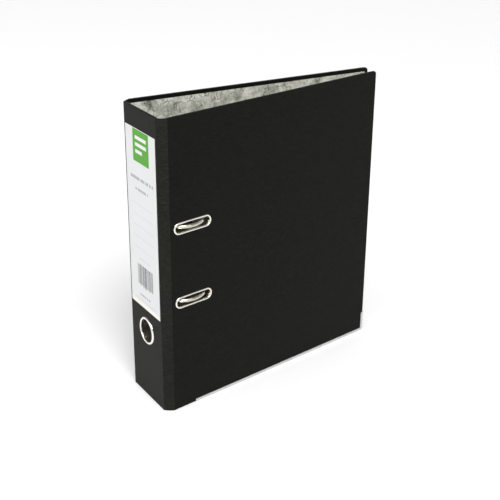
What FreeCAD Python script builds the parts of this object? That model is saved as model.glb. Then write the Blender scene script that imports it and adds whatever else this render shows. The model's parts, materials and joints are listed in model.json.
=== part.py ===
import FreeCAD, Part
import os
import re

# Lever arch file, A4, standing on its lower edge.
# Plan frame: X from the spine board's outer face towards the fore-edge,
# front cover on -Y, back cover on +Y, Z up. ox/oy move it to the box centre.

os.makedirs("parts", exist_ok=True)
doc = FreeCAD.newDocument("lever_arch_file")

VALUES = [
    # whole case
    ("file_hgt", 315.0), ("zbase", 0.5), ("cov_w", 278.0), ("spine_w", 66.0),
    ("hinge_x", 9.0), ("hinge_y", 6.0), ("front_tilt", 8.0), ("back_tilt", 4.0),
    ("off_x", 142.8034), ("off_y", 0.0275),
    # board, outer paper, lining, visible turn-in
    ("board_t", 2.2), ("paper_t", 0.35), ("lining_t", 0.35), ("turn_in", 4.0),
    ("corner_r", 3.5),
    # slots in the front cover (80 mm pitch)
    ("slot_u", 27.5), ("slot_len", 46.0), ("slot_wid", 13.0), ("slot_low", 122.5),
    ("pitch", 80.0), ("bead_w", 2.0), ("barrel_w", 0.7), ("bead_t", 0.9),
    # edge rail
    ("rail_start", 28.0), ("rail_t", 0.5), ("rail_lip", 3.0), ("rail_up", 24.0),
    # spine
    ("ring_z", 79.0), ("ring_r", 12.4), ("ring_wall", 0.7), ("ring_bead", 1.25),
    ("ring_flange", 15.0), ("label_w", 62.0), ("label_hgt", 191.0), ("label_top", 20.5),
    ("label_t", 0.2),
    # hinge strip
    ("strip_t", 0.8),
    # mechanism, heights are over the back lining
    ("plate_t", 1.2), ("plate_u", 3.0), ("plate_w", 60.0), ("plate_low", 100.0),
    ("plate_len", 125.0), ("plate_r", 9.0),
    ("wire_r", 2.1), ("axle_u", 8.0), ("axle_h", 5.2), ("arch_u", 28.0),
    ("arch_top", 70.8), ("arc_a", 20.0), ("arc_b", 24.0), ("bend_r", 5.0),
    ("post_r", 3.0), ("post_top", 37.6), ("post_bore", 2.35), ("tip_gap", 0.4),
    ("crank", 12.0), ("crank_low", 151.0), ("crank_len", 22.0),
    ("clip_r", 3.4), ("clip_len", 6.0), ("clip_gap", 0.08), ("clip_off", 7.0),
    ("rivet_r", 1.9), ("rivet_head", 4.6),
    # lever
    ("lev_u", 14.0), ("lev_w", 14.0), ("sheet_t", 1.2), ("lev_z", 138.0),
    ("lev_h", 12.2), ("lev_low", 133.5), ("lev_top", 187.0), ("web_h", 16.2),
    ("pin_r", 1.6), ("pin_gap", 0.06), ("roll_z", 160.0), ("roll_r", 3.6),
    ("rollpin_r", 1.5), ("ear_gap", 0.4), ("ear_top", 17.0),
    # compressor
    ("bar_u", 43.0), ("bar_w", 18.0), ("bar_low", 96.0), ("bar_len", 133.0),
    ("bar_h", 3.0), ("bar_hole", 3.45), ("bar_flange", 3.6),
]
sheet = doc.addObject("Spreadsheet::Sheet", "Dims")
NAMES = []
for row, (alias, value) in enumerate(VALUES, 1):
    sheet.set("A%d" % row, alias)
    sheet.set("B%d" % row, repr(value))
    sheet.setAlias("B%d" % row, alias)
    NAMES.append(alias)
doc.recompute()
WORD = re.compile(r"\b(" + "|".join(sorted(NAMES, key=len, reverse=True)) + r")\b")


def ex(text):
    return WORD.sub(r"Dims.\1", str(text))


count = [0]


def obj(kind, label=None):
    count[0] += 1
    o = doc.addObject(kind, "n%03d" % count[0])
    if label:
        o.Label = label
    return o


def bind(o, prop, text):
    o.setExpression(prop, ex(text))


def base(o, x, y, z):
    bind(o, "Placement.Base.x", x)
    bind(o, "Placement.Base.y", y)
    bind(o, "Placement.Base.z", z)


ROT = {
    "z": FreeCAD.Rotation(FreeCAD.Vector(0, 0, 1), 0),
    "-y": FreeCAD.Rotation(FreeCAD.Vector(1, 0, 0), 90),
    "+y": FreeCAD.Rotation(FreeCAD.Vector(1, 0, 0), -90),
    "x": FreeCAD.Rotation(FreeCAD.Vector(0, 1, 0), 90),
}


def box(x0, x1, y0, y1, z0, z1):
    o = obj("Part::Box")
    bind(o, "Length", "(%s) - (%s)" % (x1, x0))
    bind(o, "Width", "(%s) - (%s)" % (y1, y0))
    bind(o, "Height", "(%s) - (%s)" % (z1, z0))
    base(o, x0, y0, z0)
    return o


def cyl(radius, height, x, y, z, axis="z"):
    o = obj("Part::Cylinder")
    bind(o, "Radius", radius)
    bind(o, "Height", height)
    o.Placement = FreeCAD.Placement(FreeCAD.Vector(0, 0, 0), ROT[axis])
    base(o, x, y, z)
    return o


def cone(r1, r2, height, x, y, z, axis="z"):
    o = obj("Part::Cone")
    bind(o, "Radius1", r1)
    bind(o, "Radius2", r2)
    bind(o, "Height", height)
    o.Placement = FreeCAD.Placement(FreeCAD.Vector(0, 0, 0), ROT[axis])
    base(o, x, y, z)
    return o


def ball(radius, x, y, z):
    o = obj("Part::Sphere")
    bind(o, "Radius", radius)
    base(o, x, y, z)
    return o


def torus(major, minor, sweep, rotation, x, y, z):
    o = obj("Part::Torus")
    bind(o, "Radius1", major)
    bind(o, "Radius2", minor)
    o.Angle1 = -180
    o.Angle2 = 180
    o.Angle3 = sweep
    o.Placement = FreeCAD.Placement(FreeCAD.Vector(0, 0, 0), rotation)
    base(o, x, y, z)
    return o


def fuse(items, label=None):
    if len(items) == 1 and not label:
        return items[0]
    o = obj("Part::MultiFuse", label)
    o.Shapes = items
    o.Refine = False
    return o


def cut(body, tools, label=None):
    o = obj("Part::Cut", label)
    o.Base = body
    o.Tool = fuse(tools) if len(tools) > 1 else tools[0]
    return o


GROUP = {
    "front": ("hinge_x - off_x", "-(spine_w / 2 + hinge_y) - off_y", "front_tilt", 1),
    "back": ("hinge_x - off_x", "spine_w / 2 + hinge_y - off_y", "back_tilt", -1),
    "spine": ("-off_x", "-off_y", None, 1),
}
NODES = []


def place(o, group):
    gx, gy, tilt, sign = GROUP[group]
    if tilt:
        o.Placement = FreeCAD.Placement(
            FreeCAD.Vector(0, 0, 0),
            FreeCAD.Rotation(FreeCAD.Vector(0, 0, 1), sign * dict(VALUES)[tilt]))
    bind(o, "Placement.Base.x", gx)
    bind(o, "Placement.Base.y", gy)
    NODES.append(o)
    return o


# ---- shared shapes -------------------------------------------------------
def stadium(u, z, length, width, y0, y1):
    """Rounded slot: length along x, width along z, between y0 and y1."""
    half = "((%s) - (%s)) / 2" % (length, width)
    mid = box("(%s) - (%s)" % (u, half), "(%s) + (%s)" % (u, half), y0, y1,
              "(%s) - (%s) / 2" % (z, width), "(%s) + (%s) / 2" % (z, width))
    a = cyl("(%s) / 2" % width, "(%s) - (%s)" % (y1, y0), "(%s) - (%s)" % (u, half), y0, z, "+y")
    b = cyl("(%s) / 2" % width, "(%s) - (%s)" % (y1, y0), "(%s) + (%s)" % (u, half), y0, z, "+y")
    return fuse([mid, a, b])


def corner(r, x, z, sx, sz, y0, y1):
    """Tool that rounds a plate's corner at (x, z); sx, sz point outwards."""
    cx, cz = "(%s) - %d * (%s)" % (x, sx, r), "(%s) - %d * (%s)" % (z, sz, r)
    xs = (cx, "(%s) + 2" % x) if sx > 0 else ("(%s) - 2" % x, cx)
    zs = (cz, "(%s) + 2" % z) if sz > 0 else ("(%s) - 2" % z, cz)
    return cut(box(xs[0], xs[1], y0, y1, zs[0], zs[1]),
               [cyl(r, "(%s) - (%s)" % (y1, y0), cx, y0, cz, "+y")])


COV_T = "(paper_t + board_t + lining_t)"
BAR_W = "(slot_len - 2 * bead_w + 2 * barrel_w)"
BAR_H = "(slot_wid - 2 * bead_w + 2 * barrel_w)"


def cover(group, s, holes):
    """Paper wrap, board and lining of one cover. s=1: inside is +y, s=-1: inside is -y."""
    def ys(a, b):
        return (a, b) if s > 0 else ("-(%s)" % b, "-(%s)" % a)
    far, top = "cov_w", "file_hgt"
    y0, y1 = ys("0", COV_T)
    yo = ys("-1", COV_T + " + 1")
    skin = cut(box("0", far, y0, y1, "zbase", top), [
        box("paper_t", "cov_w - paper_t", *ys("paper_t", "paper_t + board_t"),
            "zbase + paper_t", "file_hgt - paper_t"),
        box("paper_t", "cov_w - turn_in", *ys("paper_t + board_t / 2", COV_T + " + 1"),
            "zbase + turn_in", "file_hgt - turn_in"),
        corner("corner_r", far, top, 1, 1, *yo),
    ] + holes(), group + "_cover_paper")
    # the wrap's corner is kept closed over the board's corner
    place(skin, group)
    board = cut(box("paper_t", "cov_w - paper_t", *ys("paper_t", "paper_t + board_t"),
                    "zbase + paper_t", "file_hgt - paper_t"),
                [corner("corner_r + 1", "cov_w - paper_t", "file_hgt - paper_t", 1, 1, *yo)] + holes(),
                group + "_board")
    place(board, group)
    lining = cut(box("paper_t", "cov_w - turn_in", *ys("paper_t + board_t", COV_T),
                     "zbase + turn_in", "file_hgt - turn_in"),
                 [corner("corner_r", "cov_w - turn_in", "file_hgt - turn_in", 1, 1, *yo)] + holes(),
                 group + "_lining")
    place(lining, group)
    # U rail along the lower edge, turned up the fore-edge
    ra = ys("-rail_t", COV_T + " + rail_t")
    outer = fuse([
        box("rail_start", "cov_w + rail_t", *ra, "0", "zbase + rail_lip"),
        box("cov_w - rail_lip", "cov_w + rail_t", *ra, "0", "rail_up"),
    ])
    rail = cut(outer, [
        box("rail_start - 1", "cov_w", *ys("0", COV_T), "zbase", "rail_up + 5"),
        corner("rail_lip", "cov_w + rail_t", "0", 1, -1, *ys("-2", COV_T + " + 2")),
        corner("1.5", "rail_start", "zbase + rail_lip", -1, 1, *ys("-2", COV_T + " + 2")),
        corner("1.5", "cov_w - rail_lip", "rail_up", -1, 1, *ys("-2", COV_T + " + 2")),
    ], group + "_edge_rail")
    place(rail, group)


def slot_holes():
    return [stadium("slot_u", z, BAR_W, BAR_H, "-1", COV_T + " + 1")
            for z in ("slot_low", "slot_low + pitch")]


RIVETS = [("13", "107"), ("13", "218"), ("57", "107"), ("57", "218")]


def rivet_holes():
    return [cyl("rivet_r", "10", u, "1", z, "-y") for u, z in RIVETS]


cover("front", 1, slot_holes)
cover("back", -1, rivet_holes)

# ---- slot eyelets: flange, barrel and clinched inner flange -----------------
for tag, z in (("lower", "slot_low"), ("upper", "slot_low + pitch")):
    body = fuse([
        stadium("slot_u", z, "slot_len", "slot_wid", "-0.45", "0"),
        stadium("slot_u", z, "slot_len - 0.8", "slot_wid - 0.8", "-bead_t", "-0.45"),
        stadium("slot_u", z, BAR_W, BAR_H, "-bead_t", COV_T + " + 0.7"),
        stadium("slot_u", z, "slot_len - 1", "slot_wid - 1", COV_T, COV_T + " + 0.7"),
    ])
    place(cut(body, [
        stadium("slot_u", z, "slot_len - 2 * bead_w", "slot_wid - 2 * bead_w", "-3", COV_T + " + 3"),
        stadium("slot_u", z, "slot_len - 2 * bead_w + 0.6", "slot_wid - 2 * bead_w + 0.6", "-3", "-0.45"),
    ], "slot_eyelet_" + tag), "front")

# ---- spine ------------------------------------------------------------------
def ring_hole(r="ring_r + ring_wall"):
    return cyl(r, "12", "-3", "0", "ring_z", "x")


half = "spine_w / 2"
place(cut(box("0", COV_T, "-" + half, half, "zbase", "file_hgt"), [
    box("paper_t", "paper_t + board_t", "-spine_w / 2 + paper_t", "spine_w / 2 - paper_t",
        "zbase + paper_t", "file_hgt - paper_t"),
    box("paper_t + board_t / 2", COV_T + " + 1", "-spine_w / 2 + paper_t", "spine_w / 2 - paper_t",
        "zbase + turn_in", "file_hgt - turn_in"),
    ring_hole()], "spine_cover_paper"), "spine")
place(cut(box("paper_t", "paper_t + board_t", "-spine_w / 2 + paper_t", "spine_w / 2 - paper_t",
              "zbase + paper_t", "file_hgt - paper_t"), [ring_hole()], "spine_board"), "spine")
place(cut(box("paper_t + board_t", COV_T, "-spine_w / 2 + paper_t", "spine_w / 2 - paper_t",
              "zbase + turn_in", "file_hgt - turn_in"), [ring_hole()], "spine_lining"), "spine")
lab = cut(box("-label_t", "0", "-label_w / 2", "label_w / 2",
              "file_hgt - label_top - label_hgt", "file_hgt - label_top"),
          [box("-2", "2", "label_w / 2 - 0.5", "label_w / 2 + 1",
               "file_hgt - label_top - 0.5", "file_hgt")], "spine_label")
place(lab, "spine")
ring_body = fuse([
    cyl("ring_r + ring_wall", COV_T + " + 0.9", "-0.4", "0", "ring_z", "x"),
    torus("ring_flange - ring_bead", "ring_bead", 360, ROT["x"], "-0.0", "0", "ring_z"),
    cyl("ring_flange - ring_bead", "0.6", "-0.6", "0", "ring_z", "x"),
])
place(cut(ring_body, [ring_hole("ring_r"),
                      cut(cyl("ring_flange + 2", "ring_bead + 1", "0", "0", "ring_z", "x"),
                          [cyl("ring_r + ring_wall", "8", "-1", "0", "ring_z", "x")])],
          "thumb_ring"), "spine")
place(cut(cyl("ring_flange - 0.6", "0.5", COV_T, "0", "ring_z", "x"),
          [ring_hole()], "thumb_ring_washer"), "spine")


# ---- hinge strips: straight chamfers between the boards -----------------------
def strip(tag, sign):
    body = doc.addObject("PartDesign::Body", tag + "_hinge_strip")
    body.Label = tag + "_hinge_cloth"
    plane = [f for f in body.Origin.OriginFeatures if f.Role == "XY_Plane"][0]
    sk = body.newObject("Sketcher::SketchObject", tag + "_strip_sketch")
    sk.AttachmentSupport = (plane, [""])
    sk.MapMode = "FlatFace"
    V = FreeCAD.Vector
    pts = [V(0.0, sign * 33.35, 0), V(8.0, sign * 38.55, 0), V(8.4, sign * 37.85, 0), V(0.9, sign * 33.35, 0)]
    for i in range(4):
        sk.addGeometry(Part.LineSegment(pts[i], pts[(i + 1) % 4]), False)
    import Sketcher
    for i in range(4):
        sk.addConstraint(Sketcher.Constraint("Coincident", i, 2, (i + 1) % 4, 1))
    exprs = [("0.001", "%d * (spine_w / 2 + 0.35)" % sign),
             ("hinge_x - 1.0", "%d * (spine_w / 2 + hinge_y - 0.45)" % sign),
             ("hinge_x - 0.6", "%d * (spine_w / 2 + hinge_y - 1.15)" % sign),
             ("strip_t + 0.1", "%d * (spine_w / 2 + 0.35)" % sign)]
    for i, (exx, eyy) in enumerate(exprs):
        c = sk.addConstraint(Sketcher.Constraint("DistanceX", -1, 1, i, 1, pts[i].x + (0.001 if i == 0 else 0)))
        sk.setExpression("Constraints[%d]" % c, ex(exx))
        c = sk.addConstraint(Sketcher.Constraint("DistanceY", -1, 1, i, 1, pts[i].y))
        sk.setExpression("Constraints[%d]" % c, ex(eyy))
    pad = body.newObject("PartDesign::Pad", tag + "_strip_pad")
    pad.Profile = sk
    pad.Length = 314.5
    pad.setExpression("Length", ex("file_hgt - zbase"))
    body.Tip = pad
    bind(body, "Placement.Base.x", "-off_x")
    bind(body, "Placement.Base.y", "-off_y")
    bind(body, "Placement.Base.z", "zbase")
    NODES.append(body)


strip("front", -1)
strip("back", 1)


# ---- mechanism on the back cover; up() is the height over the lining ----------
def up(hh):
    return "-(%s + (%s))" % (COV_T, hh)


plate_body = box("plate_u", "plate_u + plate_w", up("plate_t"), up("0"), "plate_low", "plate_low + plate_len")
plate_tools = [corner("plate_r", "plate_u" if sx < 0 else "plate_u + plate_w",
                      "plate_low" if sz < 0 else "plate_low + plate_len", sx, sz, up("plate_t + 1"), up("-1"))
               for sx in (-1, 1) for sz in (-1, 1)]
plate_tools += [
    stadium("36", "slot_low + 18", "10", "7", up("plate_t + 1"), up("-1")),
    stadium("36", "slot_low + pitch - 18", "10", "7", up("plate_t + 1"), up("-1")),
    stadium("22", "slot_low - 11", "12", "5", up("plate_t + 1"), up("-1")),
    stadium("22", "slot_low + pitch + 11", "12", "5", up("plate_t + 1"), up("-1")),
]


def rib(u, z0, z1):
    """Raised stiffening rib along z."""
    hh = "plate_t + 0.7"
    return [box("%s - 1.5" % u, "%s + 1.5" % u, up(hh), up("plate_t - 0.2"), z0, z1),
            cyl("1.5", "0.9", u, up("plate_t - 0.2"), z0, "-y"),
            cyl("1.5", "0.9", u, up("plate_t - 0.2"), z1, "-y")]


ribs = rib("34", "148", "177") + rib("39.2", "148", "177")
ribs += [stadium("35", "106", "24", "3", up("plate_t + 0.7"), up("plate_t - 0.2")),
         stadium("35", "219", "24", "3", up("plate_t + 0.7"), up("plate_t - 0.2"))]
place(cut(fuse([plate_body] + ribs), plate_tools + rivet_holes(), "base_plate"), "back")

rv = []
for u, z in RIVETS:
    rv.append(fuse([
        cyl("rivet_r", COV_T + " + plate_t + 0.4", u, "0.2", z, "-y"),
        cyl("rivet_head", "0.35", u, "0", z, "+y"),
        cone("rivet_head", "rivet_head - 1.4", "0.6", u, "0.35", z, "+y"),
        cone("rivet_head - 0.8", "rivet_head - 1.9", "1.0", u, up("plate_t"), z, "-y"),
    ]))
place(fuse(rv, "mechanism_rivets"), "back")

POST_U = "(arch_u + arc_b)"
for tag, z in (("lower", "slot_low"), ("upper", "slot_low + pitch")):
    place(cut(fuse([
        cyl("post_r", "post_top - plate_t", POST_U, up("plate_t"), z, "-y"),
        cone("post_r + 2", "post_r + 0.6", "1.0", POST_U, up("plate_t"), z, "-y"),
    ]), [cyl("post_bore", "8", POST_U, up("post_top - 7"), z, "-y")], "post_" + tag), "back")

# one bent wire: two arches, the axle between them and its crank
RX = FreeCAD.Rotation
wire = []
HC_A, HC_B = "(arch_top - arc_a)", "(arch_top - arc_b)"
for z, turn, dz in (("slot_low", RX(FreeCAD.Vector(0, 1, 0), 90), 1),
                    ("slot_low + pitch", RX(FreeCAD.Vector(0, 1, 0), -90), -1)):
    wire += [
        cyl("wire_r", HC_A + " - axle_h - bend_r", "axle_u", up("axle_h + bend_r"), z, "-y"),
        torus("arc_a", "wire_r", 90, RX(FreeCAD.Vector(0, 0, 1), 180), "arch_u", up(HC_A), z),
        torus("arc_b", "wire_r", 90, RX(FreeCAD.Vector(0, 0, 1), 270), "arch_u", up(HC_B), z),
        cyl("wire_r", HC_B + " - post_top - tip_gap - 1.2", POST_U, up("post_top + tip_gap + 1.2"), z, "-y"),
        cone("wire_r - 0.7", "wire_r", "1.2", POST_U, up("post_top + tip_gap"), z, "-y"),
        torus("bend_r", "wire_r", 90, turn, "axle_u", up("axle_h + bend_r"),
              "(%s) + %d * bend_r" % (z, dz)),
    ]
wire += [
    cyl("wire_r", "crank_low - slot_low - bend_r", "axle_u", up("axle_h"), "slot_low + bend_r"),
    cyl("wire_r", "slot_low + pitch - bend_r - crank_low - crank_len", "axle_u", up("axle_h"),
        "crank_low + crank_len"),
    ball("wire_r", "axle_u", up("axle_h"), "crank_low"),
    ball("wire_r", "axle_u", up("axle_h"), "crank_low + crank_len"),
    cyl("wire_r", "crank", "axle_u", up("axle_h"), "crank_low", "x"),
    cyl("wire_r", "crank", "axle_u", up("axle_h"), "crank_low + crank_len", "x"),
    ball("wire_r", "axle_u + crank", up("axle_h"), "crank_low"),
    ball("wire_r", "axle_u + crank", up("axle_h"), "crank_low + crank_len"),
    cyl("wire_r", "crank_len", "axle_u + crank", up("axle_h"), "crank_low"),
]
place(fuse(wire, "arch_wire"), "back")

for tag, z in (("lower", "slot_low + clip_off"), ("upper", "slot_low + pitch - clip_off - clip_len")):
    place(cut(fuse([
        cyl("clip_r", "clip_len", "axle_u", up("axle_h"), z),
        box("axle_u - clip_r", "axle_u + clip_r", up("axle_h"), up("plate_t"), z, "(%s) + clip_len" % z),
        box("axle_u - clip_r - 0.6", "axle_u + clip_r + 0.6", up("plate_t + 0.8"), up("plate_t"),
            z, "(%s) + clip_len" % z),
    ]), [cyl("wire_r + clip_gap", "clip_len + 2", "axle_u", up("axle_h"), "(%s) - 1" % z)],
        "axle_clip_" + tag), "back")

# return spring around the axle: wound rings with a leg to the plate
coils = [torus("wire_r + 1.0", "0.45", 360, RX(FreeCAD.Vector(0, 0, 1), 0), "axle_u", up("axle_h"),
               "slot_low + pitch - 16.5 - %s" % (0.88 * i)) for i in range(9)]
coils.append(cyl("0.45", "12", "axle_u - 0.5", up("axle_h - wire_r - 1.0"),
                 "slot_low + pitch - 16.5", "x"))
place(fuse(coils, "arch_spring"), "back")

# lever bracket: base and two ears
EAR0, EAR1 = "(lev_u - ear_gap - sheet_t)", "(lev_u + lev_w + ear_gap)"
ears = []
for x in (EAR0, EAR1):
    ears += [box(x, "%s + sheet_t" % x, up("lev_h"), up("plate_t"), "lev_z - 5", "lev_z + 5"),
             cyl("5", "sheet_t", x, up("lev_h"), "lev_z", "x")]
ears.append(box(EAR0, EAR1 + " + sheet_t", up("plate_t + sheet_t"), up("plate_t"), "lev_z - 5", "lev_z + 5"))
place(cut(fuse(ears), [cyl("pin_r", "30", "lev_u - 6", up("lev_h"), "lev_z", "x")], "lever_bracket"), "back")
place(fuse([
    cyl("pin_r", EAR1 + " + sheet_t + 0.6 - " + EAR0 + " + 0.3", EAR0 + " - 0.3", up("lev_h"), "lev_z", "x"),
    cone("pin_r + 1.0", "pin_r + 0.5", "0.8", EAR1 + " + sheet_t", up("lev_h"), "lev_z", "x"),
], "lever_pivot_pin"), "back")

# lever: pressed channel, open towards the plate, with a rounded, raised grip
def chan(z0, z1, low):
    return [box("lev_u", "lev_u + sheet_t", up("web_h + sheet_t"), up(low), z0, z1),
            box("lev_u + lev_w - sheet_t", "lev_u + lev_w", up("web_h + sheet_t"), up(low), z0, z1)]


lev = chan("lev_low", "roll_z + 8", "lev_h - 3.4") + chan("roll_z + 7", "lev_top - 8", "web_h - 3")
lev += [box("lev_u", "lev_u + lev_w", up("web_h + sheet_t"), up("web_h"), "lev_low + 3", "lev_top - 7"),
        cyl("lev_w / 2 + 1.5", "sheet_t", "lev_u + lev_w / 2", up("web_h"), "lev_top - 8.5", "-y"),
        cyl("1.6", "lev_w - 2", "lev_u + 1", up("web_h + sheet_t"), "lev_top - 2.2", "x")]
lever_tools = [
    cyl("pin_r + pin_gap", "30", "lev_u - 6", up("lev_h"), "lev_z", "x"),
    cyl("rollpin_r", "30", "lev_u - 6", up("lev_h"), "roll_z", "x"),
    stadium("lev_u + lev_w / 2", "roll_z + 12", "5", "3", up("web_h + 3"), up("web_h - 1")),
]
place(cut(fuse(lev), lever_tools, "lever"), "back")
place(fuse([
    cyl("rollpin_r", "lev_w + 0.8", "lev_u - 0.4", up("lev_h"), "roll_z", "x"),
    cone("rollpin_r + 0.7", "rollpin_r + 0.2", "0.5", "lev_u + lev_w", up("lev_h"), "roll_z", "x"),
], "roller_pin"), "back")
place(cut(fuse([
    cyl("roll_r", "lev_w - 2 * sheet_t - 1.6", "lev_u + sheet_t + 0.8", up("lev_h"), "roll_z", "x"),
    cyl("rollpin_r + 0.9", "lev_w - 2 * sheet_t - 0.6", "lev_u + sheet_t + 0.3", up("lev_h"), "roll_z", "x"),
]), [cyl("rollpin_r + 0.05", "30", "lev_u - 6", up("lev_h"), "roll_z", "x")], "lever_roller"), "back")

# compressor: flanged bar on the two posts, with a latch at each
bar = fuse([
    box("bar_u", "bar_u + bar_w", up("bar_h + sheet_t"), up("bar_h"), "bar_low + 6", "bar_low + bar_len - 6"),
    cyl("bar_w / 2", "sheet_t", "bar_u + bar_w / 2", up("bar_h"), "bar_low + bar_w / 2", "-y"),
    cyl("bar_w / 2", "sheet_t", "bar_u + bar_w / 2", up("bar_h"), "bar_low + bar_len - bar_w / 2", "-y"),
    box("bar_u", "bar_u + 1", up("bar_h + sheet_t + bar_flange"), up("bar_h"), "slot_low + 14", "slot_low + pitch - 14"),
    box("bar_u + bar_w - 1", "bar_u + bar_w", up("bar_h + sheet_t + bar_flange"), up("bar_h"), "slot_low + 14", "slot_low + pitch - 14"),
])
bar_tools = [cyl("bar_hole", "12", POST_U, up("0"), z, "-y") for z in ("slot_low", "slot_low + pitch")]
bar_tools.append(stadium("bar_u + bar_w / 2", "slot_low + pitch / 2", "8", "7", up("bar_h + 4"), up("bar_h - 1")))
place(cut(bar, bar_tools, "compressor_bar"), "back")
for tag, z in (("lower", "slot_low"), ("upper", "slot_low + pitch")):
    lt = "bar_h + sheet_t"
    place(cut(fuse([
        box("bar_u + 2", "bar_u + bar_w - 1.6", up(lt + " + 0.8"), up(lt), "(%s) - 5" % z, "(%s) + 5" % z),
        box("bar_u + bar_w - 2.4", "bar_u + bar_w - 1.6", up(lt + " + 7"), up(lt), "(%s) - 5" % z, "(%s) + 5" % z),
        cyl("5", "0.8", "bar_u + 2", up(lt), z, "-y"),
    ]), [cyl("bar_hole", "20", POST_U, up("0"), z, "-y")], "compressor_latch_" + tag), "back")

doc.recompute()
# nodes only: the outer box of the whole file
lo, hi = [1e9] * 3, [-1e9] * 3
bad = 0
for o in doc.Objects:
    if any(w in o.State for w in ("Invalid", "Error")):
        print("BAD STATE", o.Label, o.State)
        bad += 1
for o in NODES:
    s = o.Shape
    if s.isNull() or not s.isValid() or not s.Solids:
        print("BAD SHAPE", o.Label)
        bad += 1
        continue
    mesh = s.tessellate(0.05)[0]
    ends = [(min(p[k] for p in mesh), max(p[k] for p in mesh)) for k in range(3)]
    for i, (a, c) in enumerate(ends):
        lo[i], hi[i] = min(lo[i], a), max(hi[i], c)
    s.exportStep("parts/%s.step" % o.Label)
    print("%-24s solids %d vol %9.1f  x %7.1f %7.1f  y %6.1f %6.1f  z %6.1f %6.1f" % (
        (o.Label, len(s.Solids), s.Volume) + ends[0] + ends[1] + ends[2]))
print("nodes", len(NODES), "bad", bad)
print("centre to add: off_x %.4f off_y %.4f" % ((lo[0] + hi[0]) / 2, (lo[1] + hi[1]) / 2), lo, hi)
if bad:
    raise SystemExit(3)
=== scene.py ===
import json
import math
import random

import bmesh
import bpy
from mathutils import Matrix, Vector

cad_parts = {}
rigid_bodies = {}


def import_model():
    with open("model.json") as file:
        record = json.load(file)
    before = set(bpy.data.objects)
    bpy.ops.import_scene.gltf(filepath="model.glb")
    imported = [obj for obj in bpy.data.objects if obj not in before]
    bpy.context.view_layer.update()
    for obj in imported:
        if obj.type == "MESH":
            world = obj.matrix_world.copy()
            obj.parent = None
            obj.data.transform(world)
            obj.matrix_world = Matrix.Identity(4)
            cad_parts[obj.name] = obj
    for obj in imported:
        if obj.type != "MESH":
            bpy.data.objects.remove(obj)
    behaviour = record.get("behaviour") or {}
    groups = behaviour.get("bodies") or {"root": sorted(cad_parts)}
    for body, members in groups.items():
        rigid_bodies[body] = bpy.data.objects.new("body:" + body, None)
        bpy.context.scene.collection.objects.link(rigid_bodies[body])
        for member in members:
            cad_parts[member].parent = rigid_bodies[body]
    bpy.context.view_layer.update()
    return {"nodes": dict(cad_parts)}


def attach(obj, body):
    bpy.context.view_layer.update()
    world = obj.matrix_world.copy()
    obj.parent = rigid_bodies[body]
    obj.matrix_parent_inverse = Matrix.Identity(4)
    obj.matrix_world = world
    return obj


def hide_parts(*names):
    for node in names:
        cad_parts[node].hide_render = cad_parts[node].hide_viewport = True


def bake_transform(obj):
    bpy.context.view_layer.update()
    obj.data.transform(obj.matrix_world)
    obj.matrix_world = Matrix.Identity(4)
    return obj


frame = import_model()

random.seed(11)
for o in list(bpy.data.objects):
    if o.name in ("Cube", "Light", "Camera"):
        bpy.data.objects.remove(o)
NODES = frame["nodes"]

# ------------------------------------------------------------------ frames
# plan millimetres: X from the spine's outer face, the covers turned by their tilt
OX, OY = 142.8034, 0.0275
HGT, ZB, COVW, COVT = 315.0, 0.5, 278.0, 2.9
SLOT_U, SLOT_Z, SLOT_L, SLOT_W = 27.5, (122.5, 202.5), 46.0, 13.0


def group(x, y, deg):
    return (Matrix.Scale(0.001, 4) @ Matrix.Translation((x - OX, y - OY, 0))
            @ Matrix.Rotation(math.radians(deg), 4, "Z"))


GR = {"front": group(9, -39, 8), "back": group(9, 39, -4), "spine": group(0, 0, 0)}


# --------------------------------------------------------------- materials
def nt(name):
    m = bpy.data.materials.new(name)
    m.use_nodes = True
    t = m.node_tree
    return m, t, t.nodes["Principled BSDF"]


def node(t, kind, **kw):
    n = t.nodes.new(kind)
    for k, v in kw.items():
        if k in n.inputs.keys():
            n.inputs[k].default_value = v
        else:
            setattr(n, k, v)
    return n


def coords(t, scale=(1, 1, 1), rot=(0, 0, 0), warp=0.0, warp_scale=60.0):
    tc = node(t, "ShaderNodeTexCoord")
    mp = node(t, "ShaderNodeMapping")
    mp.inputs["Scale"].default_value = scale
    mp.inputs["Rotation"].default_value = rot
    src = tc.outputs["Object"]
    if warp:
        nz = node(t, "ShaderNodeTexNoise", Scale=warp_scale, Detail=5.0)
        t.links.new(src, nz.inputs["Vector"])
        sub = node(t, "ShaderNodeVectorMath", operation="SUBTRACT")
        sub.inputs[1].default_value = (0.5, 0.5, 0.5)
        t.links.new(nz.outputs["Color"], sub.inputs[0])
        mul = node(t, "ShaderNodeVectorMath", operation="SCALE")
        mul.inputs["Scale"].default_value = warp
        t.links.new(sub.outputs[0], mul.inputs[0])
        add = node(t, "ShaderNodeVectorMath", operation="ADD")
        t.links.new(src, add.inputs[0])
        t.links.new(mul.outputs[0], add.inputs[1])
        src = add.outputs[0]
    t.links.new(src, mp.inputs["Vector"])
    return mp.outputs["Vector"]


def noise(t, vec, scale, detail=4.0, rough=0.55):
    n = node(t, "ShaderNodeTexNoise", Scale=scale, Detail=detail, Roughness=rough)
    t.links.new(vec, n.inputs["Vector"])
    return n.outputs["Fac"]


def ramp(t, fac, stops):
    r = node(t, "ShaderNodeValToRGB")
    els = r.color_ramp.elements
    while len(els) < len(stops):
        els.new(0.5)
    for e, (p, c) in zip(els, stops):
        e.position = p
        e.color = (c, c, c, 1) if isinstance(c, (int, float)) else (*c, 1)
    t.links.new(fac, r.inputs["Fac"])
    return r.outputs["Color"]


def mixc(t, fac, a, b, kind="MIX"):
    m = node(t, "ShaderNodeMix", data_type="RGBA", blend_type=kind)
    if isinstance(fac, (int, float)):
        m.inputs["Factor"].default_value = fac
    else:
        t.links.new(fac, m.inputs["Factor"])
    for sock, v in ((m.inputs[6], a), (m.inputs[7], b)):
        if isinstance(v, tuple):
            sock.default_value = (*v, 1)
        else:
            t.links.new(v, sock)
    return m.outputs[2]


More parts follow.
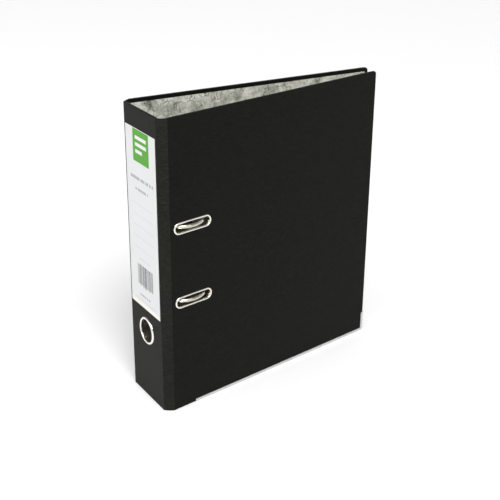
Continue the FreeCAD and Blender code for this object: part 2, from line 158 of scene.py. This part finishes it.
def math_(t, op, a, b):
    m = node(t, "ShaderNodeMath", operation=op)
    for i, v in enumerate((a, b)):
        if isinstance(v, (int, float)):
            m.inputs[i].default_value = v
        else:
            t.links.new(v, m.inputs[i])
    return m.outputs[0]


def bump(t, p, height, strength, dist):
    b = node(t, "ShaderNodeBump", Strength=strength, Distance=dist)
    t.links.new(height, b.inputs["Height"])
    t.links.new(b.outputs["Normal"], p.inputs["Normal"])


def black_paper(name, lift=1.0, wear=0.0):
    """Embossed black cover paper: fine linen grain, faint cross streaks, clouded sheen. lift scales the whole colour;
    the cover, spine and crease copies use it for painted shade and painted light.
    """
    m, t, p = nt(name)
    v = coords(t)
    grain = noise(t, v, 1700.0, 5.0, 0.62)
    streak = noise(t, coords(t, (210, 210, 1500), warp=0.004, warp_scale=40.0), 1.0, 4.0, 0.6)
    leather = node(t, "ShaderNodeTexVoronoi", feature="F1", Scale=1250.0)
    t.links.new(coords(t, (1, 1, 1.5), warp=0.0011, warp_scale=500.0), leather.inputs["Vector"])
    cloud = noise(t, v, 9.0, 3.0, 0.5)
    laid = noise(t, coords(t, (170, 170, 520), warp=0.006, warp_scale=70.0), 1.0, 5.0, 0.68)
    mixed = math_(t, "ADD", math_(t, "MULTIPLY", grain, 0.25), math_(t, "MULTIPLY", streak, 0.30))
    mixed = math_(t, "ADD", mixed, math_(t, "MULTIPLY", laid, 0.45))
    base = ramp(t, mixed, [(0.33, tuple(c * lift for c in (0.0022, 0.0024, 0.0018))),
                           (0.50, tuple(c * lift for c in (0.0056, 0.0060, 0.0048))),
                           (0.66, tuple(c * lift for c in (0.0130, 0.0136, 0.0112)))])
    base = mixc(t, ramp(t, cloud, [(0.35, 0.0), (0.75, 0.35)]), base,
                tuple(c * lift for c in (0.0105, 0.0105, 0.0094)))
    if wear:
        worn = ramp(t, noise(t, v, 420.0, 6.0, 0.7), [(0.56, 0.0), (0.68, 1.0)])
        base = mixc(t, math_(t, "MULTIPLY", worn, wear), base, (0.085, 0.080, 0.070))
    t.links.new(base, p.inputs["Base Color"])
    t.links.new(ramp(t, math_(t, "ADD", math_(t, "MULTIPLY", grain, 0.6), math_(t, "MULTIPLY", cloud, 0.4)),
                     [(0.3, 0.44), (0.7, 0.60)]), p.inputs["Roughness"])
    p.inputs["IOR"].default_value = 1.36
    p.inputs["Specular IOR Level"].default_value = 0.115
    p.inputs["Specular Tint"].default_value = (1.0, 1.0, 0.88, 1)
    h = math_(t, "ADD", math_(t, "MULTIPLY", grain, 0.45), math_(t, "MULTIPLY", streak, 0.8))
    h = math_(t, "SUBTRACT", h, math_(t, "MULTIPLY", leather.outputs["Distance"], 0.5))
    h = math_(t, "ADD", h, math_(t, "MULTIPLY", laid, 2.2))
    bump(t, p, h, 0.75, 0.00026)
    return m


def lining_paper(name):
    """Grey clouded lining: mottled print with thin branching dark veins."""
    m, t, p = nt(name)
    v = coords(t)
    mott = noise(t, coords(t, warp=0.010, warp_scale=45.0), 75.0, 9.0, 0.66)
    fine = noise(t, v, 900.0, 3.0, 0.6)
    base = ramp(t, mott, [(0.32, (0.17, 0.174, 0.140)), (0.46, (0.43, 0.435, 0.370)), (0.60, (0.66, 0.66, 0.59))])
    veins = None
    for sc, w, wp, dark in ((58.0, 0.034, 0.034, 1.0), (135.0, 0.055, 0.019, 0.95), (300.0, 0.085, 0.009, 0.60)):
        vo = node(t, "ShaderNodeTexVoronoi", feature="DISTANCE_TO_EDGE", Scale=sc)
        t.links.new(coords(t, (1.0, 1.0, 0.8), warp=wp, warp_scale=55.0), vo.inputs["Vector"])
        line = ramp(t, vo.outputs["Distance"], [(0.0, dark), (w, 0.0)])
        gate = ramp(t, noise(t, v, sc * 0.8, 5.0), [(0.46, 0.0), (0.60, 1.0)])
        line = math_(t, "MULTIPLY", line, gate)
        veins = line if veins is None else math_(t, "MAXIMUM", veins, line)
    base = mixc(t, veins, base, (0.026, 0.027, 0.023))
    base = mixc(t, math_(t, "MULTIPLY", fine, 0.12), base, (0.42, 0.42, 0.37))
    t.links.new(base, p.inputs["Base Color"])
    t.links.new(ramp(t, fine, [(0.3, 0.55), (0.7, 0.72)]), p.inputs["Roughness"])
    bump(t, p, fine, 0.18, 0.00006)
    return m


def label_paper(name, rgb=(0.84, 0.845, 0.85), rough=0.42):
    m, t, p = nt(name)
    v = coords(t)
    f = noise(t, v, 1300.0, 4.0, 0.6)
    big = noise(t, v, 22.0, 3.0, 0.5)
    base = mixc(t, math_(t, "MULTIPLY", f, 0.14), rgb, tuple(c * 0.86 for c in rgb))
    base = mixc(t, math_(t, "MULTIPLY", big, 0.10), base, tuple(c * 0.85 for c in rgb))
    t.links.new(base, p.inputs["Base Color"])
    t.links.new(ramp(t, f, [(0.3, rough - 0.06), (0.7, rough + 0.10)]), p.inputs["Roughness"])
    p.inputs["Specular IOR Level"].default_value = 0.25
    bump(t, p, f, 0.10, 0.00004)
    return m


def metal(name, rgb, lo, hi, stretch=(1, 1, 1), wear=0.3):
    """Nickel plating: drawn streaks, fine scratches and duller, slightly brown patches."""
    m, t, p = nt(name)
    v = coords(t)
    s = noise(t, coords(t, tuple(c * 900.0 for c in stretch)), 1.0, 4.0, 0.6)
    patch = noise(t, v, 120.0, 5.0, 0.62)
    tarn = ramp(t, patch, [(0.45, 0.0), (0.75, wear)])
    base = mixc(t, tarn, rgb, tuple(c * k for c, k in zip(rgb, (0.66, 0.62, 0.54))))
    t.links.new(base, p.inputs["Base Color"])
    p.inputs["Metallic"].default_value = 1.0
    t.links.new(ramp(t, math_(t, "ADD", math_(t, "MULTIPLY", s, 0.6), math_(t, "MULTIPLY", patch, 0.4)),
                     [(0.32, lo), (0.68, hi)]), p.inputs["Roughness"])
    bump(t, p, s, 0.16, 0.00004)
    return m


def plain(name, rgb, rough, detail_scale=900.0, amount=0.12, bump_s=0.1):
    m, t, p = nt(name)
    f = noise(t, coords(t), detail_scale, 4.0, 0.6)
    t.links.new(mixc(t, f, tuple(c * (1 - amount) for c in rgb), tuple(min(1, c * (1 + amount)) for c in rgb)),
                p.inputs["Base Color"])
    t.links.new(ramp(t, f, [(0.3, rough - 0.07), (0.7, rough + 0.09)]), p.inputs["Roughness"])
    p.inputs["Specular IOR Level"].default_value = 0.25
    bump(t, p, f, bump_s, 0.00006)
    return m


M = {
    # covers at lift 0.70: the same paper painted darker, painted shade for the sides turned away from the key light
    "black": black_paper("black_paper", 0.70),
    "edge": black_paper("black_paper_edge", 1.35, 0.30),
    # spine at lift 1.25: the same paper painted lighter, painted light for the side facing the key light on the left
    "spine": black_paper("black_paper_spine_painted_light", 1.25),
    # crease at lift 1.7: the same paper painted lighter along the hinge fold, painted light, with a little real wear
    # mixed in
    "strip": black_paper("black_paper_crease_painted_light_and_wear", 1.7, 0.10),
    "lining": lining_paper("marbled_lining_paper"),
    "label": label_paper("label_paper", (0.62, 0.625, 0.63)),
    "label_side": label_paper("label_paper_edge", (0.55, 0.54, 0.52), 0.6),
    "bright": metal("nickel_bright", (0.86, 0.835, 0.775), 0.13, 0.24, wear=0.18),
    "rail": metal("nickel_rail", (0.60, 0.61, 0.61), 0.20, 0.34, (0.15, 0.15, 1.0), 0.45),
    "wire": metal("nickel_wire", (0.60, 0.57, 0.48), 0.05, 0.13, (1, 1, 0.3)),
    "plate": metal("nickel_plate", (0.66, 0.655, 0.63), 0.17, 0.32, (1, 1, 0.12), 0.45),
    "spring": metal("spring_steel", (0.38, 0.37, 0.36), 0.28, 0.42),
    "board": plain("grey_board", (0.24, 0.22, 0.19), 0.8, 500.0, 0.3, 0.4),
    "roller": plain("white_roller", (0.70, 0.70, 0.66), 0.38),
    "green": plain("print_green", (0.062, 0.285, 0.014), 0.42, 700.0, 0.10),
    "white": plain("print_white", (0.65, 0.66, 0.65), 0.42, 700.0, 0.04),
    "grey": plain("print_grey", (0.30, 0.30, 0.31), 0.5, 700.0, 0.2),
    "pale": plain("print_pale_grey", (0.50, 0.50, 0.50), 0.5, 700.0, 0.1),
    "ink": plain("print_dark", (0.035, 0.035, 0.04), 0.5, 700.0, 0.2),
    "cream": plain("print_cream", (0.74, 0.71, 0.63), 0.45, 700.0, 0.06),
}


# ------------------------------------------------------------------ meshes
def make(name, verts, faces, mats, grp, body, fmat=None, flat=None, angle=38.0):
    """Mesh in a group's local millimetres, put in the row frame, riding on a body."""
    me = bpy.data.meshes.new(name)
    gm = GR[grp]
    me.from_pydata([gm @ Vector(v) for v in verts], [], faces)
    for k in mats:
        me.materials.append(M[k])
    if fmat:
        me.polygons.foreach_set("material_index", fmat)
    bm = bmesh.new()
    bm.from_mesh(me)
    bmesh.ops.recalc_face_normals(bm, faces=bm.faces[:])
    bm.to_mesh(me)
    bm.free()
    me.polygons.foreach_set("use_smooth", [True] * len(me.polygons))
    me.set_sharp_from_angle(angle=math.radians(angle))
    if flat is not None:
        for p in me.polygons:
            if flat(p):
                p.use_smooth = False
    me.update()
    ob = bpy.data.objects.new(name, me)
    bpy.context.scene.collection.objects.link(ob)
    if body:
        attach(ob, body)
    return ob


def rrect(x0, x1, y0, y1, radii, n=8):
    """Corner order: low-low, high-low, high-high, low-high."""
    out = []
    for (cx, cy, a0), r in zip(((x0, y0, 180), (x1, y0, 270), (x1, y1, 0), (x0, y1, 90)), radii):
        px = cx + r if cx == x0 else cx - r
        py = cy + r if cy == y0 else cy - r
        if r < 1e-6:
            out.append((cx, cy))
            continue
        for i in range(n + 1):
            a = math.radians(a0 + 90 * i / n)
            out.append((px + r * math.cos(a), py + r * math.sin(a)))
    return out


def stadium(u, z, length, width, n=14):
    out = []
    h, r = (length - width) / 2, width / 2
    for cx, a0 in ((u + h, -90), (u - h, 90)):
        for i in range(n + 1):
            a = math.radians(a0 + 180 * i / n)
            out.append((cx + r * math.cos(a), z + r * math.sin(a), math.cos(a), math.sin(a)))
    return out


def circle(u, z, r, n=48):
    return [(u + r * math.cos(2 * math.pi * i / n), z + r * math.sin(2 * math.pi * i / n)) for i in range(n)]


def slab(name, outline, holes, t0, t1, rnd, mats, axes, grp, body, seg=4):
    """Plate with holes and rounded edges. axes maps (a, b, thickness) to a local point."""
    cu = bpy.data.curves.new(name + "_outline", "CURVE")
    cu.dimensions = "2D"
    cu.fill_mode = "BOTH"
    cu.extrude = (t1 - t0) / 2 - rnd
    cu.bevel_depth = rnd
    cu.bevel_resolution = seg
    cu.offset = -rnd
    for loop in [outline] + holes:
        sp = cu.splines.new("POLY")
        sp.points.add(len(loop) - 1)
        for i, q in enumerate(loop):
            sp.points[i].co = (q[0], q[1], 0, 1)
        sp.use_cyclic_u = True
    tmp = bpy.data.objects.new(name + "_tmp", cu)
    bpy.context.scene.collection.objects.link(tmp)
    bpy.context.view_layer.update()
    me = bpy.data.meshes.new_from_object(tmp.evaluated_get(bpy.context.evaluated_depsgraph_get()))
    bpy.data.objects.remove(tmp)
    bm = bmesh.new()
    bm.from_mesh(me)
    bmesh.ops.remove_doubles(bm, verts=bm.verts[:], dist=0.0005)
    bm.verts.ensure_lookup_table()
    mid = (t0 + t1) / 2
    verts = [axes(v.co.x, v.co.y, v.co.z + mid) for v in bm.verts]
    faces = [[v.index for v in f.verts] for f in bm.faces]
    fm = [0 if abs(f.normal.z) > 0.98 else (len(mats) - 1) for f in bm.faces]
    bm.free()
    bpy.data.meshes.remove(me)
    ob = make(name, verts, faces, mats, grp, body, fm)
    for p, k in zip(ob.data.polygons, fm):
        if k == 0:
            p.use_smooth = False
    return ob


def cover_axes(s):
    return lambda a, b, t: (a, s * t, b)


def sweep(name, path, profile, closed, mats, to_local, grp, body, angle=50.0):
    """path: (a, b, normal a, normal b); profile: closed loop of (out along the normal, across)."""
    verts, faces = [], []
    n = len(profile)
    for a, b, na, nb in path:
        verts += [to_local(a + q[0] * na, b + q[0] * nb, q[1]) for q in profile]
    cnt = len(path)
    for i in range(cnt if closed else cnt - 1):
        j = (i + 1) % cnt
        for k in range(n):
            l = (k + 1) % n
            faces.append([i * n + k, i * n + l, j * n + l, j * n + k])
    if not closed:
        faces.append(list(range(n)))
        faces.append([(cnt - 1) * n + k for k in range(n)])
    return make(name, verts, faces, mats, grp, body, None, angle=angle)


def tube(name, pts, r, mats, grp, body, seg=18, dome=True):
    """Round wire through local points, with domed ends."""
    P = [Vector(p) for p in pts]
    ring0 = None
    verts, faces = [], []
    tang = [(P[min(i + 1, len(P) - 1)] - P[max(i - 1, 0)]).normalized() for i in range(len(P))]
    up = tang[0].orthogonal().normalized()
    rings = []
    for i, (p, d) in enumerate(zip(P, tang)):
        up = (up - d * up.dot(d)).normalized()
        rings.append((p, d, up.copy(), r))
    if dome:
        first, last = rings[0], rings[-1]
        pre = [(first[0] - first[1] * r * 0.8 * math.sin(a), first[1], first[2], r * math.cos(a))
               for a in (math.radians(x) for x in (80, 60, 40, 20))]
        post = [(last[0] + last[1] * r * 0.8 * math.sin(a), last[1], last[2], r * math.cos(a))
                for a in (math.radians(x) for x in (20, 40, 60, 80))]
        rings = pre + rings + post
    for p, d, u, rr in rings:
        w = d.cross(u)
        for k in range(seg):
            a = 2 * math.pi * k / seg
            verts.append(tuple(p + (u * math.cos(a) + w * math.sin(a)) * rr))
    for i in range(len(rings) - 1):
        for k in range(seg):
            l = (k + 1) % seg
            faces.append([i * seg + k, i * seg + l, (i + 1) * seg + l, (i + 1) * seg + k])
    faces.append(list(range(seg)))
    faces.append([(len(rings) - 1) * seg + k for k in range(seg)])
    return make(name, verts, faces, mats, grp, body, None, angle=55.0)


def fillet(points, radii, n=8):
    P = [Vector(p) for p in points]
    out = [P[0]]
    for i in range(1, len(P) - 1):
        a, b, c = P[i - 1], P[i], P[i + 1]
        r = radii[i - 1]
        d1, d2 = (a - b).normalized(), (c - b).normalized()
        ang = d1.angle(d2)
        t = r / math.tan(ang / 2)
        s, e = b + d1 * t, b + d2 * t
        ctr = b + (d1 + d2).normalized() * (r / math.sin(ang / 2))
        v0, v1 = s - ctr, e - ctr
        tot = v0.angle(v1)
        ax = v0.cross(v1).normalized()
        for k in range(n + 1):
            out.append(ctr + Matrix.Rotation(tot * k / n, 3, ax) @ v0)
    out.append(P[-1])
    return out


# ------------------------------------------------------------------ covers
def rail(name, s, body, grp):
    R = 4.0
    path = [(28.0, 0.0, 0, -1), (28.6, 0.0, 0, -1)]
    path += [(28.6 + (274.5 - 28.6) * i / 8, 0.0, 0, -1) for i in range(1, 8)]
    for i in range(11):
        a = math.radians(270 + 9 * i)
        path.append((274.5 + R * math.cos(a), R + R * math.sin(a), math.cos(a), math.sin(a)))
    path += [(278.5, 12.0, 1, 0), (278.5, 23.4, 1, 0), (278.5, 24.0, 1, 0)]
    prof = [(-3.5, -0.42), (-3.42, -0.5), (-0.5, -0.5), (-0.22, -0.45), (-0.06, -0.30), (0.0, -0.05), (0.0, 2.95),
            (-0.06, 3.20), (-0.22, 3.35), (-0.5, 3.4), (-3.42, 3.4), (-3.5, 3.32), (-3.5, 2.98), (-3.42, 2.9),
            (-0.5, 2.9), (-0.5, 0.0), (-3.42, 0.0), (-3.5, -0.08)]
    ob = sweep(name, path, prof, False, ["rail"], lambda a, b, t: (a, s * t, b), grp, body, 60.0)
    return ob


def cover(tag, s, holes):
    body = tag + "_cover"
    out = rrect(0, COVW, ZB, HGT, (0.8, 3.5, 3.5, 0.8))
    ob = slab(body + "_wrap", out, holes, 0.0, 2.82, 0.45, ["black", "edge"], cover_axes(s), tag, body)
    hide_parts(tag + "_cover_paper", tag + "_board")
    lo = rrect(0.35, COVW - 4.0, ZB + 4.0, HGT - 4.0, (0.3, 1.0, 1.0, 0.3), 3)
    li = slab(body + "_lining_sheet", lo, holes, 2.62, 2.9, 0.06, ["lining", "lining"], cover_axes(s), tag, body,
              1)
    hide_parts(tag + "_lining")
    rl = rail(tag + "_rail_pressed", s, body, tag)
    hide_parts(tag + "_edge_rail")
    return ob


front_holes = [[q[:2] for q in stadium(SLOT_U, z, 43.4, 10.4)] for z in SLOT_Z]
cover("front", 1, front_holes)
cover("back", -1, [])

EYELET = [(0.0, 3.3), (0.0, 1.5), (0.0, -0.30), (0.10, -0.62), (0.32, -0.88), (0.65, -1.02), (1.05, -1.05),
          (1.45, -0.93), (1.78, -0.66), (1.96, -0.33), (2.0, -0.02), (0.7, 0.0), (0.7, 2.9), (1.75, 2.9),
          (1.9, 3.05), (1.75, 3.32), (1.2, 3.48), (0.55, 3.5), (0.15, 3.45)]
for tag, z in zip(("lower", "upper"), SLOT_Z):
    pth = stadium(SLOT_U, z, SLOT_L - 4.0, SLOT_W - 4.0, 16)
    ob = sweep("slot_ring_" + tag, pth, EYELET, True, ["bright"], lambda a, b, t: (a, t, b), "front", "front_cover",
               60.0)
    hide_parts("slot_eyelet_" + tag)

# ------------------------------------------------------------------- spine
sp_out = rrect(-33, 33, ZB, HGT, (0.6, 0.6, 0.6, 0.6), 4)
ob = slab("spine_wrap", sp_out, [circle(0, 79, 13.1)], 0.0, 2.82, 0.45, ["spine", "edge"],
          lambda a, b, t: (t, a, b), "spine", "spine")
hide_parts("spine_cover_paper", "spine_board")
ob = slab("spine_lining_sheet", rrect(-32.65, 32.65, ZB + 4, HGT - 4, (0.3,) * 4, 3), [circle(0, 79, 14.0)], 2.62, 2.9,
          0.06, ["lining", "lining"], lambda a, b, t: (t, a, b), "spine", "spine", 1)
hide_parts("spine_lining")

RING = [(12.4, 3.3), (12.4, 1.2), (12.4, -0.35), (12.5, -0.75), (12.75, -1.05), (13.15, -1.22), (13.6, -1.25),
        (14.1, -1.15), (14.55, -0.85), (14.85, -0.45), (15.0, -0.02), (13.1, 0.0), (13.1, 2.9), (14.25, 2.9),
        (14.4, 3.0), (14.3, 3.25), (13.6, 3.4), (12.9, 3.42), (12.5, 3.38)]
verts, faces = [], []
N = 72
for i in range(N):
    a = 2 * math.pi * i / N
    verts += [(x, r * math.cos(a), 79 + r * math.sin(a)) for r, x in RING]
for i in range(N):
    for k in range(len(RING)):
        l, j = (k + 1) % len(RING), (i + 1) % N
        faces.append([i * len(RING) + k, i * len(RING) + l, j * len(RING) + l, j * len(RING) + k])
ob = make("thumb_ring_rolled", verts, faces, ["bright"], "spine", "spine", None, angle=60.0)
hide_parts("thumb_ring", "thumb_ring_washer")


# hinge strips: creased paper outside, lining inside
def strip(tag, sgn, a, b):
    outer = [(-0.02, 32.2), (-0.03, 32.75), (0.02, 33.0), (0.28, 33.22), (0.62, 33.42), (0.95, 33.55)]
    ex, ey = 8.15, 38.52
    for i in range(1, 10):
        k = i / 10
        bulge = 0.30 * math.sin(math.pi * k)
        outer.append((0.95 + (ex - 0.95) * k - 0.546 * bulge, 33.55 + (ey - 33.55) * k + 0.838 * bulge))
    outer += [(ex, ey), (8.45, 38.62), (8.75, 38.78), (9.05, 38.98), (9.45, 39.03 if tag == "back" else 38.97)]
    tilt = 4 if tag == "back" else 8
    outer[-1] = (9.5, 39.03 - 0.5 * math.tan(math.radians(tilt)))
    inner = [(9.3, 36.2), (8.7, 36.55), (8.2, 36.95)]
    for i in range(1, 8):
        k = i / 8
        inner.append((8.2 + (2.1 - 8.2) * k, 36.95 + (33.6 - 36.95) * k + 0.15 * math.sin(math.pi * k)))
    inner += [(2.1, 33.6), (2.35, 33.1), (2.75, 32.6)]
    loop = outer + inner
    zs = ([ZB + 0.15, ZB + 0.5, ZB + 4.0] + [ZB + 4.0 + (HGT - ZB - 8.0) * i / 12 for i in range(1, 12)]
          + [HGT - 4.0, HGT - 0.5, HGT - 0.15])
    verts, faces, fm = [], [], []
    n = len(loop)
    for z in zs:
        for x, y in loop:
            verts.append((x, sgn * y, z))
    for i in range(len(zs) - 1):
        for k in range(n):
            l = (k + 1) % n
            faces.append([i * n + k, i * n + l, (i + 1) * n + l, (i + 1) * n + k])
            lined = len(outer) <= k < n - 1 and ZB + 3.9 < zs[i] and zs[i + 1] < HGT - 3.9
            fm.append(1 if lined else 0)
    # ends: quads between outer and inner
    no, ni = len(outer), len(inner)
    for base in (0, (len(zs) - 1) * n):
        for i in range(no - 1):
            j0 = n - 1 - int(round(i * (ni - 1) / (no - 1)))
            j1 = n - 1 - int(round((i + 1) * (ni - 1) / (no - 1)))
            f = [base + i, base + i + 1, base + j1, base + j0]
            if j0 == j1:
                f = f[:3]
            faces.append(f)
            fm.append(0)
    ob = make(tag + "_hinge_crease", verts, faces, ["strip", "lining"], "spine", None, fm, angle=42.0)
    s0 = GR["spine"] @ Vector((1.2, sgn * 33.4, 150))
    s1 = GR["spine"] @ Vector((8.4, sgn * 38.0, 150))
    return ob, s0, s1


ob, s0, s1 = strip("front", -1, "spine", "front_cover")
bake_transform(ob)
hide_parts("front_hinge_cloth")
ob, s0, s1 = strip("back", 1, "spine", "back_cover")
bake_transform(ob)
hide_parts("back_hinge_cloth")

# ------------------------------------------------------------------- label
LT, LW, LH = 294.5, 62.0, 191.0
ob = slab("label_sheet", rrect(-31, 31, LT - LH, LT, (0.6,) * 4, 4), [], -0.2, 0.0, 0.05, ["label", "label_side"],
          lambda a, b, t: (t, a, b), "spine", "spine", 1)
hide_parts("spine_label")


def prints(name, mat, cells):
    """Printed patches on the label: (s0, s1, t0, t1) from its left and top edges, or a point list."""
    verts, faces = [], []
    for c in cells:
        lift = 0.215
        if isinstance(c[0], (int, float)):
            s0, s1, t0, t1 = c[:4]
            lift = c[4] if len(c) > 4 else lift
            loop = [(s0, t0), (s1, t0), (s1, t1), (s0, t1)]
        else:
            loop, lift = c[0], c[1]
        b = len(verts)
        m = len(loop)
        verts += [(-lift, LW / 2 - s, LT - t) for s, t in loop]
        verts += [(-0.19, LW / 2 - s, LT - t) for s, t in loop]
        faces.append([b + i for i in range(m)])
        faces.append([b + m + i for i in range(m)][::-1])
        faces += [[b + i, b + (i + 1) % m, b + m + (i + 1) % m, b + m + i] for i in range(m)]
    ob = make(name, verts, faces, [mat], "spine", "spine", None, angle=20.0)
    for p in ob.data.polygons:
        p.use_smooth = False
    return ob


# generic coloured block with three plain bars
prints("label_block", "green", [(15.5, 48.5, 0.6, 33.5)])
prints("label_block_bars", "white", [(20.5, 43.5, 7.0, 10.6, 0.235), (20.5, 43.5, 14.0, 17.6, 0.235),
                                     (20.5, 34.5, 21.0, 24.6, 0.235)])
dashes, x = [], 8.8
rng = random.Random(5)
while x < 56:                       # heading, as word-like dashes
    w = rng.uniform(1.8, 2.9)
    dashes.append((x, min(x + w, 57.5), 49.2, 52.4))
    x += w + (2.4 if rng.random() < 0.22 else 0.65)
x = 17.5
while x < 45:
    w = rng.uniform(1.1, 2.6)
    dashes.append((x, min(x + w, 46), 60.8, 63.4))
    x += w + (2.4 if rng.random() < 0.25 else 0.6)
x = 19.5
while x < 42:
    w = rng.uniform(1.0, 2.4)
    dashes.append((x, min(x + w, 44), 176.5, 178.6))
    x += w + (1.9 if rng.random() < 0.25 else 0.55)
prints("label_dashes", "grey", dashes)
small, x = [], 10.0
while x < 53:
    w = rng.uniform(0.8, 2.0)
    small.append((x, min(x + w, 54), 182.6, 184.0))
    x += w + 0.6
x = 20.0
while x < 43:
    w = rng.uniform(0.8, 1.8)
    small.append((x, min(x + w, 44), 136.4, 137.8))
    x += w + 0.6
prints("label_rules", "pale", [(9.0, 53.5, t, t + 0.5) for t in (77.9, 89.5, 101.2, 113.2, 125.2)] + small)
bars, x = [], 16.0
while x < 48.5:                      # meaningless stripes
    w = rng.choice((0.35, 0.35, 0.6, 0.9))
    bars.append((x, x + w, 143.5, 166.0 if rng.random() < 0.85 else 168.0))
    x += w + rng.choice((0.4, 0.5, 0.7, 1.0))
prints("label_stripes", "ink", bars)
prints("label_foot", "cream", [(0.8, 61.2, 186.6, 190.4)])

# --------------------------------------------------------------- mechanism
def up(h):
    return -(COVT + h)


def arch_side(z):
    pts = [(52.0, 39.7), (52.0, 43.0), (52.0, 46.8)]
    pts += [(28 + 24 * math.cos(math.radians(a)), 46.8 + 24 * math.sin(math.radians(a))) for a in range(5, 91, 5)]
    pts += [(28 + 20 * math.cos(math.radians(a)), 50.8 + 20 * math.sin(math.radians(a))) for a in range(95, 181, 5)]
    pts += [(8.0, 40.0), (8.0, 28.0), (8.0, 16.0)]
    return [(u, up(h), z) for u, h in pts]


a_low, a_up = arch_side(122.5), arch_side(202.5)
corners = [(8, up(16.0), 122.5), (8, up(5.2), 122.5), (8, up(5.2), 151), (20, up(5.2), 151), (20, up(5.2), 173),
           (8, up(5.2), 173), (8, up(5.2), 202.5), (8, up(16.0), 202.5)]
mid = [tuple(v) for v in fillet(corners, (5, 3, 3, 3, 3, 5), 8)]
ob = tube("arch_wire_bent", a_low[:-1] + mid + a_up[::-1][1:], 2.1, ["wire"], "back", "arch", 20)
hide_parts("arch_wire")

turns, wr, mr = 9.0, 0.42, 3.1
hel = []
for i in range(int(turns * 20) + 1):
    a = 2 * math.pi * i / 20
    hel.append((8 + mr * math.cos(a), up(5.2) + mr * math.sin(a), 186.0 - 0.92 * i / 20))
hel = [(19.0, up(2.2), 186.4), (12.5, up(3.6), 186.2)] + hel
ob = tube("arch_spring_wound", hel, wr, ["spring"], "back", "back_cover", 8)
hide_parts("arch_spring")

SLOTMAT = {"base_plate": "plate", "mechanism_rivets": "plate", "axle_clip_lower": "plate", "axle_clip_upper": "plate",
           "lever_bracket": "plate", "lever": "plate", "compressor_bar": "plate", "compressor_latch_lower": "plate",
           "compressor_latch_upper": "plate", "post_lower": "wire", "post_upper": "wire", "lever_pivot_pin": "wire",
           "roller_pin": "wire", "lever_roller": "roller"}
BEVEL = {"base_plate": 0.25, "lever_bracket": 0.25, "lever": 0.28, "compressor_bar": 0.25, "mechanism_rivets": 0.2,
         "compressor_latch_lower": 0.15, "compressor_latch_upper": 0.15, "lever_roller": 0.3}
for name, key in SLOTMAT.items():
    o = NODES[name]
    o.data.materials.clear()
    o.data.materials.append(M[key])
    if name in BEVEL:
        w = o.modifiers.new("weld", "WELD")
        w.merge_threshold = 0.000005
        b = o.modifiers.new("round_edges", "BEVEL")
        b.width = BEVEL[name] / 1000
        b.segments = 2
        b.limit_method = "ANGLE"
        b.angle_limit = math.radians(50)
        b.harden_normals = False
for name in ("front_board", "back_board", "spine_board"):
    NODES[name].data.materials.clear()
    NODES[name].data.materials.append(M["board"])

# ------------------------------------------------------------------- stage
me = bpy.data.meshes.new("floor")
me.from_pydata([(-9, -9, 0), (9, -9, 0), (9, 9, 0), (-9, 9, 0)], [], [(0, 1, 2, 3)])
floor = bpy.data.objects.new("floor", me)
bpy.context.scene.collection.objects.link(floor)
fm_, ft, fp = nt("floor_pale")
fp.inputs["Base Color"].default_value = (0.97, 0.97, 0.97, 1)
fp.inputs["Roughness"].default_value = 0.65
fp.inputs["Specular IOR Level"].default_value = 0.2
me.materials.append(fm_)

world = bpy.data.worlds.new("studio") if bpy.context.scene.world is None else bpy.context.scene.world
bpy.context.scene.world = world
world.use_nodes = True
wt = world.node_tree
bg = wt.nodes.get("Background")
bg.inputs["Strength"].default_value = 1.0
sky = node(wt, "ShaderNodeTexCoord")
sep = node(wt, "ShaderNodeSeparateXYZ")
wt.links.new(sky.outputs["Generated"], sep.inputs[0])
# soft studio: bright at the horizon, darker overhead, so that plated parts get some contrast
wt.links.new(ramp(wt, sep.outputs["Z"], [(0.0, 0.92), (0.22, 0.76), (0.55, 0.40), (1.0, 0.28)]), bg.inputs["Color"])


def area(name, loc, target, size, power, size_y=None):
    l = bpy.data.lights.new(name, "AREA")
    l.energy = power
    l.size = size
    if size_y:
        l.shape = "RECTANGLE"
        l.size_y = size_y
    o = bpy.data.objects.new(name, l)
    o.location = loc
    o.rotation_euler = (Vector(target) - Vector(loc)).to_track_quat("-Z", "Y").to_euler()
    bpy.context.scene.collection.objects.link(o)
    return o


area("key", (-1.5, -0.5, 1.7), (0, 0, 0.12), 1.1, 13)
area("side", (-1.8, 0.7, 0.6), (0, 0, 0.15), 0.9, 4)
area("fill", (0.5, -2.0, 2.0), (0, 0, 0.10), 1.2, 8)
sun = bpy.data.lights.new("overhead", "SUN")
sun.energy = 2.3
sun.angle = math.radians(34)
so = bpy.data.objects.new("overhead", sun)
so.rotation_euler = Vector((0.22, 0.62, -0.75)).to_track_quat("-Z", "Y").to_euler()
bpy.context.scene.collection.objects.link(so)

bpy.context.scene.view_settings.view_transform = "Standard"

# ------------------------------------------------------------------ camera
yaw, pit, rol = math.radians(57.5), math.radians(24.135), math.radians(0.468)
d = Vector((math.cos(yaw) * math.cos(pit), math.sin(yaw) * math.cos(pit), -math.sin(pit)))
r = Vector((math.sin(yaw), -math.cos(yaw), 0))
u = r.cross(d)
r2 = r * math.cos(rol) + u * math.sin(rol)
u2 = -r * math.sin(rol) + u * math.cos(rol)
cam = bpy.data.cameras.new("camera")
cam.sensor_width = 36.0
cam.lens = 74.88
cam.clip_end = 50
co = bpy.data.objects.new("camera", cam)
mw = Matrix.Identity(4)
for i, col in enumerate((r2, u2, -d)):
    for k in range(3):
        mw[k][i] = col[k]
mw.translation = Vector((-0.5619, -0.8546, 0.5951))
co.matrix_world = mw
bpy.context.scene.collection.objects.link(co)
bpy.context.scene.camera = co
